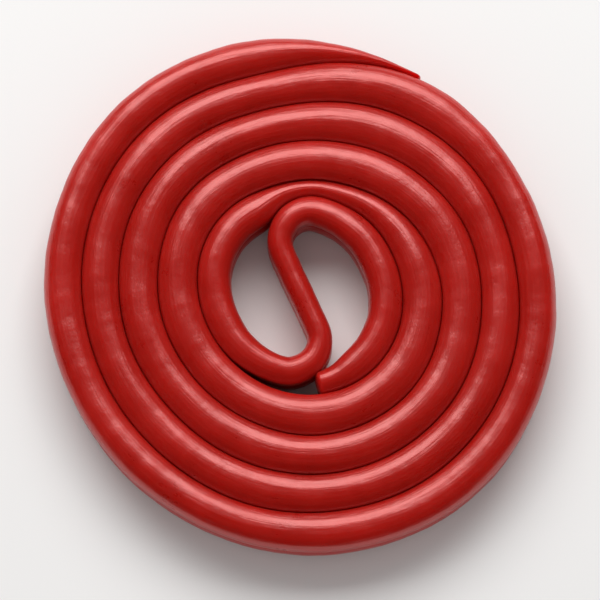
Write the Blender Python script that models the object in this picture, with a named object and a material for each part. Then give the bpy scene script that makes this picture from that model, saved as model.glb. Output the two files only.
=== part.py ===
"""Red licorice wheel: one soft strand wound into a flat wheel round an S-shaped core.

The strand is a twin cord, two round cords joined side by side, and it lies with one cord above
the other. It starts at a blunt inner end, follows the first loop, crosses the middle as an S,
follows the second loop and then winds outwards, clockwise seen from above, in four full turns.
The two teardrop gaps beside the S go right through the wheel.

Metres, +Z up. The wheel lies flat on z = 0, with the origin under the middle of its outline.
Angles are in degrees, counter-clockwise from +X, seen from above. An angle that has fallen by
360 is one turn further out along the strand.
"""

import bpy
import numpy as np

MM = 0.001

# Strand
STRAND_HEIGHT = 6.3 * MM
FIRST_TURN_WIDTH = 3.40 * MM
WIDTH_LOSS_PER_TURN = 0.10 * MM
TURN_GAP = 0.12 * MM
TURNS = 4
LAST_TURN_WIDTH = FIRST_TURN_WIDTH - (TURNS - 1) * WIDTH_LOSS_PER_TURN
RIM_BULGE = 0.20 * MM
MOST_SWELL = 1.25
CORD_NOTCH = 0.31
CORD_RISE = 0.55
CORD_SQUARENESS = 2.2
CORD_PRESSED = 0.88
DROP_WHERE_THIN = 1.2 * MM

# Turns: mean radius of the groove round the core, and how oval and off-centre the turns lie
CORE_RADIUS = 9.13 * MM
OVAL = 0.46 * MM
OVAL_GROWTH = 0.04 * MM
OVAL_AXIS = 127.0
DRIFT_PER_TURN = 0.04 * MM
DRIFT_DIRECTION = 281.0
EDGE_WANDER = 0.10 * MM
TOP_WANDER = 0.12 * MM
WANDER_PER_METRE = 4000.0
WANDER_SEED = 7

# S core: a straight middle, two hooks and two loops
CORE_HEADING = 115.0
CORE_HALF_LENGTH = 3.70 * MM
HOOK_RADIUS = 2.60 * MM
CORE_WIDTH = 2.30 * MM
HOOK_WIDTH = 2.50 * MM
LOOP_WIDTH = 2.95 * MM
HOOK_INSET = 0.55 * MM

# Ends of the strand
INNER_END = -77.0
INNER_END_WIDTH = 2.10 * MM
OUTER_END = 62.0
END_ROUNDING = 0.45 * MM

# Where a turn climbs over the one before: first angle and angle taken
CLIMB_START = 122.0
CLIMB_START_STEP = -5.0
CLIMB_SPAN = 125.0
CLIMB_SPAN_STEP = -22.0

# Mesh fineness
PATH_STEP = 0.05 * MM
PATH_SOFTENING = 0.60 * MM
MOST_TURN_PER_STATION = 8.0
MOST_LENGTH_PER_STATION = 2.6 * MM
CORD_POINTS = (0.32, 0.80, 1.00)

LICORICE_COLOUR = (0.36, 0.012, 0.008, 1.0)
LICORICE_ROUGHNESS = 0.36


def smoothstep(t):
    """0 below t = 0, 1 above t = 1, and 3t^2 - 2t^3 between."""
    t = np.clip(t, 0.0, 1.0)
    return t * t * (3.0 - 2.0 * t)


def polar(radius, angle):
    """Points at a radius and an angle in degrees, as rows of x and y."""
    turn = np.radians(angle)
    return np.stack([radius * np.cos(turn), radius * np.sin(turn)], axis=-1)


def groove_radius(index, angle):
    """Radius of groove number index, which may be a fraction, in a direction.

    Groove 1 lies round the core and groove TURNS + 1 is the rim, where the last turn bulges out a
    little because nothing presses on it. A groove is an oval:
    its mean radius plus a share of cos 2(angle - axis) that grows outwards, a little off-centre.
    """
    passed = index - 1.0
    growth = passed * (FIRST_TURN_WIDTH + TURN_GAP) - passed * (passed - 1.0) / 2.0 * WIDTH_LOSS_PER_TURN
    growth += RIM_BULGE * np.maximum(index - TURNS, 0.0)
    oval = (OVAL + OVAL_GROWTH * passed) * np.cos(2.0 * np.radians(angle - OVAL_AXIS))
    drift = DRIFT_PER_TURN * index * np.cos(np.radians(angle - DRIFT_DIRECTION))
    return CORE_RADIUS + growth + oval + drift


def climb_index(total_angle):
    """Number of climbs that the strand has made by a total angle, which falls as it winds outwards."""
    passed = np.zeros_like(total_angle)
    for climb in range(TURNS):
        start = CLIMB_START + CLIMB_START_STEP * climb - 360.0 * climb
        span = CLIMB_SPAN + CLIMB_SPAN_STEP * climb
        passed += smoothstep((start - total_angle) / span)
    return passed


def wander(total_angle, seed):
    """A slow wander between -1 and 1: the mean of a few sine waves of random phase along the strand."""
    phase = np.random.default_rng(seed).uniform(0.0, 2.0 * np.pi, 4)
    waves = np.array([2.3, 3.7, 5.9, 8.3])
    return np.sin(np.radians(total_angle)[..., None] * waves + phase).mean(axis=-1)


def outer_limit(total_angle):
    """Radius of the groove outside the strand."""
    growing = smoothstep((150.0 - total_angle) / 90.0)
    index = 1.0 + climb_index(total_angle)
    return groove_radius(index, total_angle) + EDGE_WANDER * growing * wander(total_angle, WANDER_SEED)


def hook_centre():
    """Centre of the upper hook's arc, to the right of the straight middle's upper end."""
    top = polar(CORE_HALF_LENGTH, CORE_HEADING)
    return top + polar(HOOK_RADIUS, CORE_HEADING - 90.0)


def hook_outside(angle):
    """Radius at which a ray from the middle leaves the upper hook's outer edge."""
    centre = hook_centre()
    along = polar(1.0, angle) @ centre
    reach = HOOK_RADIUS + HOOK_WIDTH / 2.0
    return along + np.sqrt(np.maximum(along**2 - centre @ centre + reach**2, 0.0))


def hook_top_angle():
    """Direction of the highest point of the upper hook's centre line."""
    centre = hook_centre()
    return np.degrees(np.arctan2(centre[1] + HOOK_RADIUS, centre[0]))


def loop(angle):
    """Outer edge and width of the right-hand loop, from the hook's top down to the inner end.

    The loop lies against groove 1, except near the hook, which stays a little inside it.
    """
    top = hook_top_angle()
    inset = HOOK_INSET * smoothstep((angle - 35.0) / (top - 35.0))
    width = HOOK_WIDTH + (LOOP_WIDTH - HOOK_WIDTH) * smoothstep((top - angle) / 60.0)
    return groove_radius(1.0, angle) - TURN_GAP / 2.0 - inset, width


def inner_arm():
    """The strand from its inner end to the middle of the S, as rows of x, y, width and pressed shares.

    The pressed shares say how much the left and the right side lean on a neighbour: here the loop's
    outer, right-hand side does, and the side towards the gap is free.
    """
    top = hook_top_angle()
    angle = np.linspace(INNER_END, top, 400)
    edge, width = loop(angle)
    width += (INNER_END_WIDTH - LOOP_WIDTH) * smoothstep((INNER_END + 30.0 - angle) / 30.0)
    loop_line = polar(edge - width / 2.0, angle)
    hook_angle = np.linspace(90.0, CORE_HEADING + 90.0, 160)[1:]
    hook_line = hook_centre() + polar(HOOK_RADIUS, hook_angle)
    narrowing = smoothstep((hook_angle - 90.0) / CORE_HEADING)
    hook_width = HOOK_WIDTH + (CORE_WIDTH - HOOK_WIDTH) * narrowing
    middle_line = np.linspace(1.0, 0.0, 80)[1:, None] * polar(CORE_HALF_LENGTH, CORE_HEADING)
    middle_width = np.full(len(middle_line), CORE_WIDTH)
    line = np.concatenate([loop_line, hook_line, middle_line])
    width = np.concatenate([width, hook_width, middle_width])
    outer = np.concatenate([np.ones(len(angle)), 1.0 - narrowing, np.zeros(len(middle_line))])
    return np.column_stack([line, width, np.zeros(len(line)), outer]), len(angle)


def winding():
    """The strand from the lower hook's end outwards, as rows of x, y, width and pressed shares.

    The left-hand loop is the right-hand one turned half round. Past it the strand squeezes between
    the upper hook and the turn outside it and widens again as it climbs. Each later turn fills the
    room between the turn before and its own outer limit, up to MOST_SWELL times its own width.
    For the last turn that limit is the rim.
    The left-hand side is the outer one, pressed until the rim; the other is pressed past the hook.
    """
    top = hook_top_angle()
    angle = np.linspace(180.0 + top, OUTER_END - 360.0 * TURNS, 9000)
    _, loop_width = loop(np.maximum(angle, CLIMB_START) - 180.0)
    turn = np.clip(climb_index(angle) - 1.0, 0.0, TURNS - 1.0)
    turn_width = MOST_SWELL * (FIRST_TURN_WIDTH - WIDTH_LOSS_PER_TURN * turn)
    widening = smoothstep((CLIMB_START - angle) / CLIMB_SPAN)
    wanted = loop_width + (turn_width - loop_width) * widening

    core_edge = np.where(angle > top, hook_outside(angle), loop(angle)[0])
    core_edge = np.where(angle > CORE_HEADING + 15.0, 0.0, core_edge) + TURN_GAP
    inside = np.where(angle > INNER_END, core_edge, outer_limit(angle + 360.0) + TURN_GAP / 2.0)
    left_loop = angle > CLIMB_START
    loop_inset = HOOK_INSET * smoothstep((angle - 215.0) / (top - 35.0))
    outside = np.where(left_loop, groove_radius(1.0, angle) - loop_inset, outer_limit(angle)) - TURN_GAP / 2.0

    slope = np.gradient(outside, np.radians(angle)) / outside
    lean = np.cos(np.arctan(slope))
    across = np.minimum(outside - inside, wanted / lean)
    radius = np.where(angle > top, outside - across / 2.0, inside + across / 2.0)
    outer = smoothstep((angle - angle[-1] - 350.0) / 30.0)
    inner = smoothstep((CLIMB_START + 10.0 - angle) / 40.0)
    return np.column_stack([polar(radius, angle), across * lean, outer, inner])


def softened(table):
    """Bell-weighted running mean along the strand; past each end the table goes on mirrored."""
    reach = int(3.0 * PATH_SOFTENING / PATH_STEP)
    offset = np.arange(-reach, reach + 1) * PATH_STEP / PATH_SOFTENING
    bell = np.exp(-0.5 * offset**2)
    bell /= bell.sum()
    before = 2.0 * table[:1] - table[reach:0:-1]
    after = 2.0 * table[-1:] - table[-2 : -reach - 2 : -1]
    padded = np.concatenate([before, table, after])
    return np.stack([np.convolve(column, bell, mode="valid") for column in padded.T], axis=-1)


def strand_path():
    """Evenly spaced points along the whole strand, as rows like winding()'s, softened at the joints."""
    arm, loop_rows = inner_arm()
    lower_arm = arm[loop_rows:-1][::-1, [0, 1, 2, 4, 3]] * (-1.0, -1.0, 1.0, 1.0, 1.0)
    rows = np.concatenate([arm, lower_arm, winding()])
    steps = np.linalg.norm(np.diff(rows[:, :2], axis=0), axis=1)
    along = np.concatenate([[0.0], np.cumsum(steps)])
    even = np.linspace(0.0, along[-1], int(along[-1] / PATH_STEP))
    table = np.column_stack([np.interp(even, along, column) for column in rows.T])
    return even, softened(table)


def stations():
    """Cross-section places as rows of x, y, width, pressed shares, heading and distance along.

    They lie closer together where the strand bends more.
    """
    along, table = strand_path()
    heading = np.unwrap(np.arctan2(np.gradient(table[:, 1]), np.gradient(table[:, 0])))
    bend = np.abs(np.gradient(heading, along))
    density = np.maximum(bend / np.radians(MOST_TURN_PER_STATION), 1.0 / MOST_LENGTH_PER_STATION)
    spent = np.concatenate([[0.0], np.cumsum((density[1:] + density[:-1]) / 2.0 * np.diff(along))])
    places = np.linspace(0.0, spent[-1], int(np.ceil(spent[-1])) + 1)
    at = np.interp(places, spent, along)
    return np.column_stack([np.interp(at, along, column) for column in (*table.T, heading, along)])


def twin_cord_outline(pressed):
    """Cross-section of the twin cord, counter-clockwise, x from -1 to 1 and z from -1 to 1.

    A free cord is a superellipse |x|^n + |z|^n = 1. A pressed cord is an ellipse a little wider
    than the strand, cut off upright where it leans on its neighbour. The two cords meet at
    mid-height in a notch. The outermost points of the top and the bottom are level, so that the
    wheel has a flat to lie on.
    """
    across = np.array(CORD_POINTS)
    free = (1.0 - across**CORD_SQUARENESS) ** (1.0 / CORD_SQUARENESS)
    wide = np.sqrt(1.0 - (CORD_PRESSED * across) ** 2)
    rise = wide / wide[0] if pressed else free / free[0]
    height = 1.0 - CORD_RISE + CORD_RISE * rise
    left_x = np.concatenate([[1.0 - CORD_NOTCH], across[::-1]])
    left_z = np.concatenate([[0.0], height[::-1]])
    top_x = np.concatenate([left_x, -left_x[::-1][:-1]])
    top_z = np.concatenate([left_z, left_z[::-1][:-1]])
    x = np.concatenate([top_x, [-left_x[0]], -top_x[1:]])
    z = np.concatenate([top_z, [0.0], -top_z[1:]])
    return x, z


def licorice_material():
    """Semi-gloss red licorice."""
    material = bpy.data.materials.new("red_licorice")
    material.use_nodes = True
    shader = material.node_tree.nodes["Principled BSDF"]
    shader.inputs["Base Color"].default_value = LICORICE_COLOUR
    shader.inputs["Roughness"].default_value = LICORICE_ROUGHNESS
    shader.inputs["Metallic"].default_value = 0.0
    material.diffuse_color = LICORICE_COLOUR
    return material


def licorice_wheel():
    """Sweeps the twin-cord outline along the wound path as one closed body with rounded ends."""
    table = stations()
    across, free_rise = twin_cord_outline(pressed=False)
    pressed_rise = twin_cord_outline(pressed=True)[1]
    rounding = np.array([[-1.0, 0.62], [-0.62, 0.88]])
    first = np.repeat(table[:1], len(rounding), axis=0)
    last = np.repeat(table[-1:], len(rounding), axis=0)
    table = np.concatenate([first, table, last])
    count = len(table)
    shift = np.zeros(count)
    scale = np.ones(count)
    shift[: len(rounding)] = rounding[:, 0] * END_ROUNDING
    scale[: len(rounding)] = rounding[:, 1]
    shift[-len(rounding) :] = -rounding[::-1, 0] * END_ROUNDING
    scale[-len(rounding) :] = rounding[::-1, 1]

    x, y, width, left_share, right_share, heading, along = table.T
    forward = np.column_stack([np.cos(heading), np.sin(heading)])
    left = np.column_stack([-np.sin(heading), np.cos(heading)])
    centre = np.column_stack([x, y]) + forward * shift[:, None]
    half_width = width / 2.0 * scale
    bottom = (STRAND_HEIGHT / 2.0 - DROP_WHERE_THIN * np.maximum(1.0 - width / LAST_TURN_WIDTH, 0.0)) * scale
    top = bottom - TOP_WANDER * (1.0 + wander(along * WANDER_PER_METRE, WANDER_SEED + 1))
    share = np.where(across > 0.0, left_share[:, None], right_share[:, None])
    rise = free_rise + (pressed_rise - free_rise) * share
    reach = np.where(rise > 0.0, top[:, None], bottom[:, None])
    flat = centre[:, None, :] + left[:, None, :] * (half_width[:, None] * across)[..., None]
    tall = STRAND_HEIGHT / 2.0 + rise * reach
    corners = np.concatenate([flat, tall[..., None]], axis=-1).reshape(-1, 3)
    corners[:, :2] -= (corners[:, :2].max(axis=0) + corners[:, :2].min(axis=0)) / 2.0

    sides = len(across)
    ring = np.arange(sides)
    beside = (ring + 1) % sides
    faces = []
    for row in range(count - 1):
        near = row * sides
        far = near + sides
        faces += np.stack([near + ring, near + beside, far + beside, far + ring], axis=-1).tolist()
    faces.append(ring[::-1].tolist())
    faces.append(((count - 1) * sides + ring).tolist())

    mesh = bpy.data.meshes.new("licorice_wheel")
    mesh.from_pydata(corners.tolist(), [], faces)
    mesh.validate()
    mesh.shade_smooth()
    mesh.set_sharp_from_angle(angle=np.radians(50.0))
    mesh.materials.append(licorice_material())
    wheel = bpy.data.objects.new("licorice_wheel", mesh)
    bpy.context.scene.collection.objects.link(wheel)
    return wheel


def clear_scene():
    for existing in list(bpy.data.objects):
        bpy.data.objects.remove(existing, do_unlink=True)


clear_scene()
licorice_wheel()
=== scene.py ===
"""Dresses the licorice wheel: its wound strand, a pale floor, soft light and a camera.

Metres, +Z up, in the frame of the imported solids. Angles are in degrees, counter-clockwise from +X,
seen from above. An angle that has fallen by 360 is one turn further out along the strand.
"""

import math

import bpy
import numpy as np
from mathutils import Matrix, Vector


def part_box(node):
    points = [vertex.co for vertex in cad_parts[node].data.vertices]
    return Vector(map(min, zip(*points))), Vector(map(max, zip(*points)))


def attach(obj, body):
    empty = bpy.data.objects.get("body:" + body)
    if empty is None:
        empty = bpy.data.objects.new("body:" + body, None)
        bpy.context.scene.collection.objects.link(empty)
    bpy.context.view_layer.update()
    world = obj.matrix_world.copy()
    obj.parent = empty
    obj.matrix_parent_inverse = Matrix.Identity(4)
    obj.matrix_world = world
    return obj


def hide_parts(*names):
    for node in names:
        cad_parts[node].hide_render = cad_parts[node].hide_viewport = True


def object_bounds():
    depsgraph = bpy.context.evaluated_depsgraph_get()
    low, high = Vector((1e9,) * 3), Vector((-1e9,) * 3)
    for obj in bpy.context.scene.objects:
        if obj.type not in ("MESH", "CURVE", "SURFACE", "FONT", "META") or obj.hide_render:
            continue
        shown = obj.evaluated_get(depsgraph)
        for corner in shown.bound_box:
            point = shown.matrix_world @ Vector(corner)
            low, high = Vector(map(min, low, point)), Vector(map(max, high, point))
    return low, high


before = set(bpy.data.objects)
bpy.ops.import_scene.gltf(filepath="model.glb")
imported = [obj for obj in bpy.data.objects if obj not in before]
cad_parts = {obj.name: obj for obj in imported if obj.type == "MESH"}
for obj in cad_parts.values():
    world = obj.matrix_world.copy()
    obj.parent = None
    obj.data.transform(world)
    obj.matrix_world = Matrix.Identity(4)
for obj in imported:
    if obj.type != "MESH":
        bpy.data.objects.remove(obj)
cad_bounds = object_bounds()

MM = 0.001

# Strand
STRAND_HEIGHT = 6.3 * MM
FIRST_TURN_WIDTH = 3.40 * MM
WIDTH_LOSS_PER_TURN = 0.10 * MM
TURN_GAP = 0.12 * MM
TURNS = 4
LAST_TURN_WIDTH = FIRST_TURN_WIDTH - (TURNS - 1) * WIDTH_LOSS_PER_TURN
RIM_BULGE = 0.20 * MM
MOST_SWELL = 1.25
CORD_RISE = 0.55
CORD_SQUARENESS = 2.2
CORD_PRESSED = 0.88
DROP_WHERE_THIN = 1.2 * MM

# Turns: mean radius of the groove round the core, and how oval and off-centre the turns lie
CORE_RADIUS = 9.13 * MM
OVAL = 0.46 * MM
OVAL_GROWTH = 0.04 * MM
OVAL_AXIS = 127.0
DRIFT_PER_TURN = 0.04 * MM
DRIFT_DIRECTION = 281.0

# Unevenness of the edges and the top; at the edges it starts at one angle and grows over another
EDGE_WANDER = 0.10 * MM
EDGE_WANDER_START = 150.0
EDGE_WANDER_SPAN = 90.0
TOP_WANDER = 0.12 * MM
WANDER_PER_METRE = 4000.0
WANDER_WAVES = (2.3, 3.7, 5.9, 8.3)
WANDER_SEED = 7

# S core: a straight middle, two hooks and two loops
CORE_HEADING = 115.0
CORE_HALF_LENGTH = 3.70 * MM
HOOK_RADIUS = 2.60 * MM
CORE_WIDTH = 2.30 * MM
HOOK_WIDTH = 2.50 * MM
LOOP_WIDTH = 2.95 * MM
LOOP_WIDENING = 60.0
HOOK_INSET = 0.55 * MM
HOOK_INSET_START = 35.0
HOOK_EDGE_END = CORE_HEADING + 15.0

# Ends of the strand
INNER_END = -77.0
INNER_END_WIDTH = 2.10 * MM
INNER_TAPER = 30.0
OUTER_END = 62.0
END_ROUNDING = 0.45 * MM

# Where a turn climbs over the one before: first angle and angle taken
CLIMB_START = 122.0
CLIMB_START_STEP = -5.0
CLIMB_SPAN = 125.0
CLIMB_SPAN_STEP = -22.0

# Where the strand is pressed: outwards up to its last free stretch, inwards from just before the climb
RIM_STRETCH = 350.0
RIM_STRETCH_FADE = 30.0
PRESSED_START = CLIMB_START + 10.0
PRESSED_FADE = 40.0

# Points worked out on each part of the path, then the path's and the mesh's fineness
LOOP_POINTS = 400
HOOK_POINTS = 160
MIDDLE_POINTS = 80
WINDING_POINTS = 9000
PATH_STEP = 0.05 * MM
PATH_SOFTENING = 0.60 * MM
SOFTENING_REACH = 3.0
STATION_LENGTH = 0.40 * MM
POINTS_PER_CORD = 20
END_ROWS = 7
CAP_END = 0.49 * np.pi

# Surface relief, and how far a pressed side swells into the gap beside it
CLOSER = 0.05 * MM
DENT_DEPTH = 0.05 * MM
DENT_LENGTHS = (1.3 * MM, 2.1 * MM, 3.4 * MM, 5.5 * MM)
DENT_STRETCH = 2.7
DENT_SWING = 1.5
FINE_DENTS = 0.6
DENT_SEED = 23


def smoothstep(t):
    """0 below t = 0, 1 above t = 1, and 3t^2 - 2t^3 between."""
    t = np.clip(t, 0.0, 1.0)
    return t * t * (3.0 - 2.0 * t)


def polar(radius, angle):
    """Points at a radius and an angle in degrees, as rows of x and y."""
    turn = np.radians(angle)
    return np.stack([radius * np.cos(turn), radius * np.sin(turn)], axis=-1)


def groove_radius(index, angle):
    """Radius of groove number index, which may be a fraction, in a direction.

    Groove 1 lies round the core. Groove TURNS + 1 is the rim, where the last turn bulges out a
    little because nothing presses on it. A groove is an oval, a little off-centre: its mean radius
    plus a share of cos 2(angle - axis) that grows outwards, plus a share of cos (angle - drift).
    """
    passed = index - 1.0
    growth = passed * (FIRST_TURN_WIDTH + TURN_GAP) - passed * (passed - 1.0) / 2.0 * WIDTH_LOSS_PER_TURN
    growth += RIM_BULGE * np.maximum(index - TURNS, 0.0)
    oval = (OVAL + OVAL_GROWTH * passed) * np.cos(2.0 * np.radians(angle - OVAL_AXIS))
    drift = DRIFT_PER_TURN * index * np.cos(np.radians(angle - DRIFT_DIRECTION))
    return CORE_RADIUS + growth + oval + drift


def climb_index(total_angle):
    """Number of climbs that the strand has made by a total angle, which falls as it winds outwards."""
    passed = np.zeros_like(total_angle)
    for climb in range(TURNS):
        start = CLIMB_START + CLIMB_START_STEP * climb - 360.0 * climb
        span = CLIMB_SPAN + CLIMB_SPAN_STEP * climb
        passed += smoothstep((start - total_angle) / span)
    return passed


def wander(total_angle, seed):
    """A slow wander between -1 and 1: the mean of a few sine waves of random phase along the strand."""
    waves = np.array(WANDER_WAVES)
    phase = np.random.default_rng(seed).uniform(0.0, 2.0 * np.pi, len(waves))
    return np.sin(np.radians(total_angle)[..., None] * waves + phase).mean(axis=-1)


def outer_limit(total_angle):
    """Radius of the groove outside the strand."""
    growing = smoothstep((EDGE_WANDER_START - total_angle) / EDGE_WANDER_SPAN)
    index = 1.0 + climb_index(total_angle)
    return groove_radius(index, total_angle) + EDGE_WANDER * growing * wander(total_angle, WANDER_SEED)


def hook_centre():
    """Centre of the upper hook's arc, to the right of the straight middle's upper end."""
    top = polar(CORE_HALF_LENGTH, CORE_HEADING)
    return top + polar(HOOK_RADIUS, CORE_HEADING - 90.0)


def hook_outside(angle):
    """Radius at which a ray from the middle leaves the upper hook's outer edge."""
    centre = hook_centre()
    along = polar(1.0, angle) @ centre
    reach = HOOK_RADIUS + HOOK_WIDTH / 2.0
    return along + np.sqrt(np.maximum(along**2 - centre @ centre + reach**2, 0.0))


def hook_top_angle():
    """Direction of the highest point of the upper hook's centre line."""
    centre = hook_centre()
    return np.degrees(np.arctan2(centre[1] + HOOK_RADIUS, centre[0]))


def hook_inset(angle):
    """How far the right-hand loop lies inside groove 1: nothing at first, all of it at the hook's top."""
    return HOOK_INSET * smoothstep((angle - HOOK_INSET_START) / (hook_top_angle() - HOOK_INSET_START))


def loop(angle):
    """Outer edge and width of the right-hand loop, from the hook's top down to the inner end."""
    widening = smoothstep((hook_top_angle() - angle) / LOOP_WIDENING)
    width = HOOK_WIDTH + (LOOP_WIDTH - HOOK_WIDTH) * widening
    return groove_radius(1.0, angle) - TURN_GAP / 2.0 - hook_inset(angle), width


def inner_arm():
    """The strand from its inner end to the middle of the S, as rows of x, y, width and pressed shares.

    The pressed shares say how much the left and the right side lean on a neighbour: here the loop's
    outer, right-hand side does, and the side towards the gap is free.
    """
    angle = np.linspace(INNER_END, hook_top_angle(), LOOP_POINTS)
    edge, width = loop(angle)
    width += (INNER_END_WIDTH - LOOP_WIDTH) * smoothstep((INNER_END + INNER_TAPER - angle) / INNER_TAPER)
    loop_line = polar(edge - width / 2.0, angle)
    hook_angle = np.linspace(90.0, CORE_HEADING + 90.0, HOOK_POINTS)[1:]
    hook_line = hook_centre() + polar(HOOK_RADIUS, hook_angle)
    narrowing = smoothstep((hook_angle - 90.0) / CORE_HEADING)
    hook_width = HOOK_WIDTH + (CORE_WIDTH - HOOK_WIDTH) * narrowing
    middle_share = np.linspace(1.0, 0.0, MIDDLE_POINTS)[1:, None]
    middle_line = middle_share * polar(CORE_HALF_LENGTH, CORE_HEADING)
    middle_width = np.full(len(middle_line), CORE_WIDTH)
    line = np.concatenate([loop_line, hook_line, middle_line])
    width = np.concatenate([width, hook_width, middle_width])
    outer = np.concatenate([np.ones(len(angle)), 1.0 - narrowing, np.zeros(len(middle_line))])
    return np.column_stack([line, width, np.zeros(len(line)), outer]), len(angle)


def winding():
    """The strand from the lower hook's end outwards, as rows of x, y, width and pressed shares.

    The left-hand loop is the right-hand one turned half round. Past it the strand squeezes between
    the upper hook and the turn outside it and widens again as it climbs. Each later turn fills the
    room between the turn before and its own outer limit, up to MOST_SWELL times its own width.
    For the last turn that limit is the rim.
    The left-hand side is the outer one, pressed until the rim; the other is pressed past the hook.
    """
    top = hook_top_angle()
    angle = np.linspace(180.0 + top, OUTER_END - 360.0 * TURNS, WINDING_POINTS)
    _, loop_width = loop(np.maximum(angle, CLIMB_START) - 180.0)
    turn = np.clip(climb_index(angle) - 1.0, 0.0, TURNS - 1.0)
    turn_width = MOST_SWELL * (FIRST_TURN_WIDTH - WIDTH_LOSS_PER_TURN * turn)
    widening = smoothstep((CLIMB_START - angle) / CLIMB_SPAN)
    wanted = loop_width + (turn_width - loop_width) * widening

    core_edge = np.where(angle > top, hook_outside(angle), loop(angle)[0])
    core_edge = np.where(angle > HOOK_EDGE_END, 0.0, core_edge) + TURN_GAP
    inside = np.where(angle > INNER_END, core_edge, outer_limit(angle + 360.0) + TURN_GAP / 2.0)
    loop_edge = groove_radius(1.0, angle) - hook_inset(angle - 180.0)
    outside = np.where(angle > CLIMB_START, loop_edge, outer_limit(angle)) - TURN_GAP / 2.0

    slope = np.gradient(outside, np.radians(angle)) / outside
    lean = np.cos(np.arctan(slope))
    across = np.minimum(outside - inside, wanted / lean)
    radius = np.where(angle > top, outside - across / 2.0, inside + across / 2.0)
    outer = smoothstep((angle - angle[-1] - RIM_STRETCH) / RIM_STRETCH_FADE)
    inner = smoothstep((PRESSED_START - angle) / PRESSED_FADE)
    return np.column_stack([polar(radius, angle), across * lean, outer, inner])


def softened(table):
    """Bell-weighted running mean along the strand; past each end the table goes on mirrored."""
    reach = int(SOFTENING_REACH * PATH_SOFTENING / PATH_STEP)
    offset = np.arange(-reach, reach + 1) * PATH_STEP / PATH_SOFTENING
    bell = np.exp(-0.5 * offset**2)
    bell /= bell.sum()
    before = 2.0 * table[:1] - table[reach:0:-1]
    after = 2.0 * table[-1:] - table[-2 : -reach - 2 : -1]
    padded = np.concatenate([before, table, after])
    return np.stack([np.convolve(column, bell, mode="valid") for column in padded.T], axis=-1)


def strand_path():
    """Evenly spaced points along the whole strand, as rows like winding()'s, softened at the joints."""
    arm, loop_rows = inner_arm()
    lower_arm = arm[loop_rows:-1][::-1, [0, 1, 2, 4, 3]] * (-1.0, -1.0, 1.0, 1.0, 1.0)
    rows = np.concatenate([arm, lower_arm, winding()])
    steps = np.linalg.norm(np.diff(rows[:, :2], axis=0), axis=1)
    along = np.concatenate([[0.0], np.cumsum(steps)])
    even = np.linspace(0.0, along[-1], int(along[-1] / PATH_STEP))
    table = np.column_stack([np.interp(even, along, column) for column in rows.T])
    return even, softened(table)


def twin_cord(turn, pressed):
    """Cross-section of the twin cord at turn, from 0 to 2 pi: x and z from -1 to 1.

    A free cord is a superellipse |x|^n + |z|^n = 1. A pressed cord is an ellipse a little wider
    than the strand, cut off upright where it leans on its neighbour. The upper cord is centred
    above mid-height by 1 - CORD_RISE, and each is followed only down to the notch at mid-height.
    """
    power = 1.0 if pressed else 2.0 / CORD_SQUARENESS
    below = math.asin(((1.0 - CORD_RISE) / CORD_RISE) ** (1.0 / power))
    upper = turn < np.pi
    share = np.where(upper, turn, turn - np.pi) / np.pi
    swing = -below + share * (np.pi + 2.0 * below)
    x = np.sign(np.cos(swing)) * np.abs(np.cos(swing)) ** power
    if pressed:
        x = np.clip(x / CORD_PRESSED, -1.0, 1.0)
    rise = np.sign(np.sin(swing)) * np.abs(np.sin(swing)) ** power
    z = 1.0 - CORD_RISE + CORD_RISE * rise
    return np.where(upper, x, -x), np.where(upper, z, -z)


def dents(along, turn):
    """Shallow hand-made unevenness between -1 and 1 over the strand's surface.

    The mean, over a few lengths, of a long and a finer sine wave along the strand whose phases
    swing a little round it.
    """
    draw = np.random.default_rng(DENT_SEED)
    relief = np.zeros(np.broadcast(along, turn).shape)
    for length in DENT_LENGTHS:
        phase = draw.uniform(0.0, 2.0 * np.pi, 3)
        swing = DENT_SWING * np.sin(turn + phase[0]) + phase[1]
        relief += np.sin(2.0 * np.pi * along / (length * DENT_STRETCH) + swing)
        relief += FINE_DENTS * np.sin(2.0 * np.pi * along / length - swing + phase[2])
    return relief / ((1.0 + FINE_DENTS) * len(DENT_LENGTHS))


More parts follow.
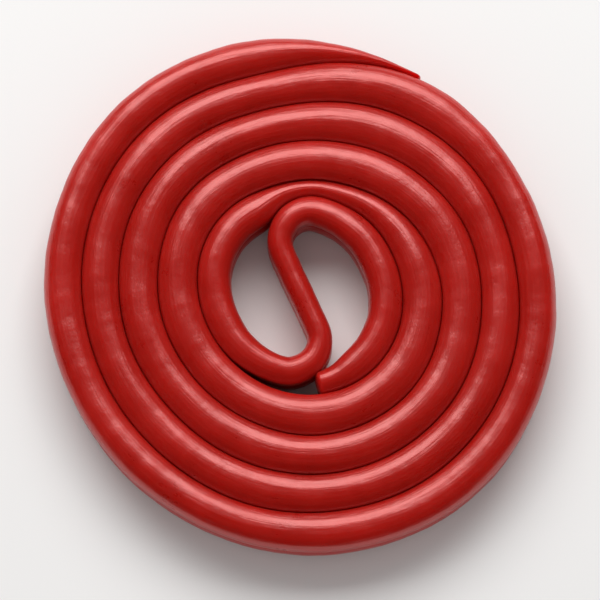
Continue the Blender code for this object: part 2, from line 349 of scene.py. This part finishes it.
def strand_surface():
    """Points of the strand's surface as a grid of rows along it and columns round it.

    A point is the path's point, plus the cross-section's x times half the width to the left, at
    mid-height plus the cross-section's z times half the height. Dents thin the strand except where
    a side is pressed, and there it swells by CLOSER instead. The rows past each end follow a
    rounded cap: a shift of R sin a outwards and a scale of the square root of cos a.
    """
    even, table = strand_path()
    count = int(even[-1] / STATION_LENGTH)
    along = np.linspace(0.0, even[-1], count)
    heading = np.unwrap(np.arctan2(np.gradient(table[:, 1]), np.gradient(table[:, 0])))
    columns = (even, *table.T, heading)

    cap = np.linspace(0.0, CAP_END, END_ROWS + 1)[1:]
    cap_shift = END_ROUNDING * np.sin(cap)
    cap_scale = np.sqrt(np.cos(cap))
    rows = np.concatenate([np.zeros(END_ROWS, int), np.arange(count), np.full(END_ROWS, count - 1)])
    columns = [np.interp(along, even, column)[rows] for column in columns]
    along, x, y, width, left_share, right_share, heading = columns
    shift = np.concatenate([-cap_shift[::-1], np.zeros(count), cap_shift])
    scale = np.concatenate([cap_scale[::-1], np.ones(count), cap_scale])

    turn = np.arange(2 * POINTS_PER_CORD) * np.pi / POINTS_PER_CORD
    free_across, free_rise = twin_cord(turn, pressed=False)
    pressed_across, pressed_rise = twin_cord(turn, pressed=True)
    share = np.where(free_across > 0.0, left_share[:, None], right_share[:, None])
    across = free_across + (pressed_across - free_across) * share
    rise = free_rise + (pressed_rise - free_rise) * share
    relief = DENT_DEPTH * dents(along[:, None], turn[None, :]) - DENT_DEPTH
    half_width = width[:, None] / 2.0 + CLOSER * share + relief * (1.0 - share)
    drop = DROP_WHERE_THIN * np.maximum(1.0 - width / LAST_TURN_WIDTH, 0.0)
    bottom = STRAND_HEIGHT / 2.0 - drop
    top = bottom - TOP_WANDER * (1.0 + wander(along * WANDER_PER_METRE, WANDER_SEED + 1))
    reach = np.where(rise > 0.0, top[:, None] + relief, bottom[:, None])
    sideways = across * half_width * scale[:, None]
    height = STRAND_HEIGHT / 2.0 + rise * reach * scale[:, None]
    ahead_x, ahead_y = np.cos(heading)[:, None], np.sin(heading)[:, None]
    plan_x = x[:, None] + ahead_x * shift[:, None] - ahead_y * sideways
    plan_y = y[:, None] + ahead_y * shift[:, None] + ahead_x * sideways
    points = np.stack([plan_x, plan_y, height], axis=-1)
    low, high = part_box("licorice_wheel")
    flat = points.reshape(-1, 3)
    points[..., 0] += (low[0] + high[0] - flat[:, 0].max() - flat[:, 0].min()) / 2.0
    points[..., 1] += (low[1] + high[1] - flat[:, 1].max() - flat[:, 1].min()) / 2.0
    return points, along + shift, turn


def tube_mesh(name, grid, along, turn):
    """Mesh of a closed tube from its grid, capped by a fan to one point at each end.

    Its UV map holds the distance along the strand in metres and the turn round it from 0 to 1.
    """
    rows, sides = grid.shape[:2]
    ring = np.arange(sides)
    near = (np.arange(rows - 1) * sides)[:, None]
    beside = (ring + 1) % sides
    quads = np.stack([near + ring, near + beside, near + sides + beside, near + sides + ring], axis=-1)
    poles = np.stack([grid[0].mean(axis=0), grid[-1].mean(axis=0)])
    first = rows * sides
    last = (rows - 1) * sides
    start_fan = np.stack([np.full(sides, first), beside, ring], axis=-1)
    end_fan = np.stack([np.full(sides, first + 1), last + ring, last + beside], axis=-1)
    points = np.concatenate([grid.reshape(-1, 3), poles])
    mesh = bpy.data.meshes.new(name)
    mesh.from_pydata(points, [], quads.reshape(-1, 4).tolist() + start_fan.tolist() + end_fan.tolist())

    round_it = np.append(turn, 2.0 * np.pi) / (2.0 * np.pi)
    corner_u = along[:, None] * np.ones(sides)
    quad_u = np.stack([corner_u[:-1], corner_u[:-1], corner_u[1:], corner_u[1:]], axis=-1)
    corner_v = np.stack([round_it[:-1], round_it[1:], round_it[1:], round_it[:-1]], axis=-1)
    quad_v = np.broadcast_to(corner_v, quad_u.shape)
    fan_v = np.stack([round_it[:-1], round_it[1:], round_it[:-1]], axis=-1)
    fan_u = np.ones_like(fan_v)
    u = np.concatenate([quad_u.ravel(), (fan_u * along[0]).ravel(), (fan_u * along[-1]).ravel()])
    v = np.concatenate([quad_v.ravel(), fan_v.ravel(), fan_v.ravel()])
    layer = mesh.uv_layers.new(name="strand")
    layer.data.foreach_set("uv", np.column_stack([u, v]).ravel())
    mesh.shade_smooth()
    return mesh


class Value:
    """A number or socket in a material's node tree, with arithmetic that adds Math nodes."""

    def __init__(self, shader, source):
        self.shader = shader
        self.source = source

    def math(self, operation, other):
        other = other.source if isinstance(other, Value) else other
        return self.shader.node("ShaderNodeMath", {"operation": operation}, {0: self.source, 1: other})

    def __add__(self, other):
        return self.math("ADD", other)

    __radd__ = __add__

    def __mul__(self, other):
        return self.math("MULTIPLY", other)

    __rmul__ = __mul__

    def __sub__(self, other):
        return self.math("SUBTRACT", other)

    def __rsub__(self, other):
        return Value(self.shader, other).math("SUBTRACT", self)

    def clamped(self):
        return self.math("MAXIMUM", 0.0).math("MINIMUM", 1.0)


class Shader:
    """A material with its Principled BSDF, and one method that adds any node."""

    def __init__(self, name):
        self.material = bpy.data.materials.new(name)
        self.material.use_nodes = True
        self.tree = self.material.node_tree
        self.surface = self.tree.nodes["Principled BSDF"].inputs

    def node(self, kind, settings=None, inputs=None, output=0):
        made = self.tree.nodes.new(kind)
        for setting, value in (settings or {}).items():
            setattr(made, setting, value)
        for socket, value in (inputs or {}).items():
            self.feed(made.inputs[socket], value)
        return Value(self, made.outputs[output])

    def feed(self, socket, value):
        value = value.source if isinstance(value, Value) else value
        if isinstance(value, bpy.types.NodeSocket):
            self.tree.links.new(value, socket)
        else:
            socket.default_value = value

    def colours(self, share, low, high):
        """Colour between low and high by a share from 0 to 1."""
        mix = {"data_type": "RGBA", "blend_type": "MIX"}
        return self.node("ShaderNodeMix", mix, {0: share, 6: low, 7: high}, output=2)

    def noise(self, place, scale, detail, roughness=0.5):
        """Noise from 0 to 1, about 0.5, at a place and a scale per metre."""
        inputs = {"Vector": place, "Scale": scale, "Detail": detail, "Roughness": roughness}
        return self.node("ShaderNodeTexNoise", {"noise_dimensions": "3D"}, inputs)

    def stretched(self, place, factors):
        """A place with each coordinate multiplied by its own factor."""
        return self.node("ShaderNodeVectorMath", {"operation": "MULTIPLY"}, {0: place, 1: factors})


# Reds of the candy: in the hollows of its mottling, on its crests, in its fresh specks, and painted shade
# over its thin end
DEEP_RED = (0.370, 0.0090, 0.0060, 1.0)
BRIGHT_RED = (0.480, 0.0140, 0.0095, 1.0)
FRESH_RED = (0.550, 0.0240, 0.0165, 1.0)
TIP_SHADE_RED = (0.260, 0.0070, 0.0050, 1.0)
TIP_LENGTH = 9.0 * MM

# Patterns of the candy: noise scale per metre, detail and roughness
CLOUD = (260.0, 3.0, 0.55)
SPECK = (1900.0, 2.0, 0.6)
GRAIN = (5200.0, 2.0, 0.6)
DRAW_LINES = (1.0, 3.0, 0.6)
DRAW_LINE_STRETCH = (120.0, 46.0, 1.0)
PATTERN_MIDDLE = 0.5

# How much each pattern adds to the depth of the red, to the roughness and to the bump
DEPTH_WEIGHTS = {"cloud": 1.5, "draw_lines": 0.5}
SHEEN_WEIGHTS = {"cloud": 0.16, "speck": 0.06, "draw_lines": 0.08}
BUMP_WEIGHTS = {"cloud": 0.9, "speck": 0.14, "draw_lines": 0.45, "grain": 0.10}
MEAN_DEPTH = 0.5
MEAN_ROUGHNESS = 0.31
BUMP_HEIGHT = 0.10 * MM
FRESH_ABOVE = 0.56
FRESH_CONTRAST = 2.2
MOST_FRESH = 0.45

# What is the same all over the candy
CANDY = {
    "Metallic": 0.0,
    "IOR": 1.62,
    "Specular IOR Level": 1.0,
    "Specular Tint": (1.0, 0.48, 0.46, 1.0),
    "Subsurface Weight": 1.0,
    "Subsurface Radius": (1.0, 0.12, 0.08),
    "Subsurface Scale": 2.5 * MM,
}


def varied(mean, weights, patterns):
    """A mean plus each weighted pattern, less the pattern's own middle."""
    return sum(((patterns[name] - PATTERN_MIDDLE) * weight for name, weight in weights.items()), mean)


def licorice(strand_length):
    """Soft semi-gloss licorice: mottled red, fine draw lines along the strand and a waxy sheen.

    Over its last TIP_LENGTH the strand thins out and lets light through; there the red is darkened,
    by the square of the share travelled, as painted shade that damps that glow.
    """
    shader = Shader("red_licorice")
    place = shader.node("ShaderNodeTexCoord", output=3)
    strand = shader.node("ShaderNodeUVMap", {"uv_map": "strand"})
    patterns = {
        "cloud": shader.noise(place, *CLOUD),
        "speck": shader.noise(place, *SPECK),
        "draw_lines": shader.noise(shader.stretched(strand, DRAW_LINE_STRETCH), *DRAW_LINES),
        "grain": shader.noise(place, *GRAIN),
    }

    depth = varied(MEAN_DEPTH, DEPTH_WEIGHTS, patterns).clamped()
    fresh = ((patterns["speck"] - FRESH_ABOVE) * FRESH_CONTRAST).clamped() * MOST_FRESH
    candy = shader.colours(fresh, shader.colours(depth, DEEP_RED, BRIGHT_RED), FRESH_RED)
    travelled = shader.node("ShaderNodeSeparateXYZ", inputs={0: strand})
    # Painted shade: the base red darkens towards TIP_SHADE_RED over the thin end, to damp the light
    # shining through it
    tip_shade = ((travelled - (strand_length - TIP_LENGTH)) * (1.0 / TIP_LENGTH)).clamped()
    shader.feed(shader.surface["Base Color"], shader.colours(tip_shade * tip_shade, candy, TIP_SHADE_RED))
    shader.feed(shader.surface["Roughness"], varied(MEAN_ROUGHNESS, SHEEN_WEIGHTS, patterns))
    relief = varied(0.0, BUMP_WEIGHTS, patterns)
    bump = {"Strength": 1.0, "Distance": BUMP_HEIGHT, "Height": relief}
    shader.feed(shader.surface["Normal"], shader.node("ShaderNodeBump", inputs=bump))
    for socket, value in CANDY.items():
        shader.feed(shader.surface[socket], value)
    return shader.material


def wheel():
    """The whole wound strand as one piece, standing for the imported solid."""
    grid, along, turn = strand_surface()
    mesh = tube_mesh("wound_strand", grid, along, turn)
    mesh.materials.append(licorice(along[-1]))
    piece = bpy.data.objects.new("wound_strand", mesh)
    bpy.context.scene.collection.objects.link(piece)
    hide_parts("licorice_wheel")
    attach(piece, "root")


FLOOR_WHITE = (0.86, 0.85, 0.84, 1.0)
FLOOR_SHADE = (*(0.97 * part for part in FLOOR_WHITE[:3]), 1.0)
FLOOR_CLOUD = (30.0, 2.0)
FLOOR_ROUGHNESS = 0.9
FLOOR_HALF_WIDTH = 1.5
FLOOR_CLEARANCE = 0.02 * MM


def floor():
    """A pale matt floor under the wheel, far wider than the view."""
    shader = Shader("pale_floor")
    place = shader.node("ShaderNodeTexCoord", output=3)
    tone = shader.noise(place, *FLOOR_CLOUD)
    shader.feed(shader.surface["Base Color"], shader.colours(tone, FLOOR_SHADE, FLOOR_WHITE))
    shader.feed(shader.surface["Roughness"], FLOOR_ROUGHNESS)
    corners = np.array([[-1.0, -1.0], [1.0, -1.0], [1.0, 1.0], [-1.0, 1.0]]) * FLOOR_HALF_WIDTH
    level = cad_bounds[0][2] - FLOOR_CLEARANCE
    mesh = bpy.data.meshes.new("floor")
    mesh.from_pydata(np.column_stack([corners, np.full(4, level)]), [], [(0, 1, 2, 3)])
    mesh.materials.append(shader.material)
    made = bpy.data.objects.new("floor", mesh)
    bpy.context.scene.collection.objects.link(made)


def aimed(thing, place, target):
    """Puts a light or camera at a place, looking at a target."""
    thing.location = place
    thing.rotation_euler = (Vector(target) - Vector(place)).to_track_quat("-Z", "Y").to_euler()
    bpy.context.scene.collection.objects.link(thing)
    return thing


LIGHT_PLACE = (-0.022, 0.335, 0.37)
LIGHT_TARGET = (0.0, 0.0, 0.003)
LIGHT_SIZE = (0.50, 0.30)
LIGHT_POWER = 2.6
SURROUND_WHITE = (1.0, 1.0, 1.0, 1.0)
SURROUND_STRENGTH = 0.42


def studio():
    """One large soft light from beyond the upper side of the wheel, and a dim pale surround.

    The surround lights the wheel but isn't mirrored in it.
    """
    lamp = bpy.data.lights.new("upper_light", "AREA")
    lamp.shape = "RECTANGLE"
    lamp.size, lamp.size_y = LIGHT_SIZE
    lamp.energy = LIGHT_POWER
    aimed(bpy.data.objects.new("upper_light", lamp), LIGHT_PLACE, LIGHT_TARGET)
    world = bpy.data.worlds.new("surround")
    world.use_nodes = True
    background = world.node_tree.nodes["Background"].inputs
    background["Color"].default_value = SURROUND_WHITE
    background["Strength"].default_value = SURROUND_STRENGTH
    world.cycles_visibility.glossy = False
    bpy.context.scene.world = world
    bpy.context.scene.view_settings.view_transform = "Standard"


CAMERA_ELEVATION = 80.5
CAMERA_DISTANCE = 0.34
CAMERA_TARGET = (0.0, -0.0004, STRAND_HEIGHT / 2.0)
VIEW_WIDTH = 0.0530
SENSOR_WIDTH = 36.0
NEAREST_SEEN = 0.01


def camera():
    """Looks down on the wheel from a little on the near side."""
    lens = bpy.data.cameras.new("camera")
    lens.sensor_width = SENSOR_WIDTH
    lens.lens = SENSOR_WIDTH * CAMERA_DISTANCE / VIEW_WIDTH
    lens.clip_start = NEAREST_SEEN
    rise = math.radians(CAMERA_ELEVATION)
    target = Vector(CAMERA_TARGET)
    place = target + CAMERA_DISTANCE * Vector((0.0, -math.cos(rise), math.sin(rise)))
    bpy.context.scene.camera = aimed(bpy.data.objects.new("camera", lens), place, target)


wheel()
floor()
studio()
camera()
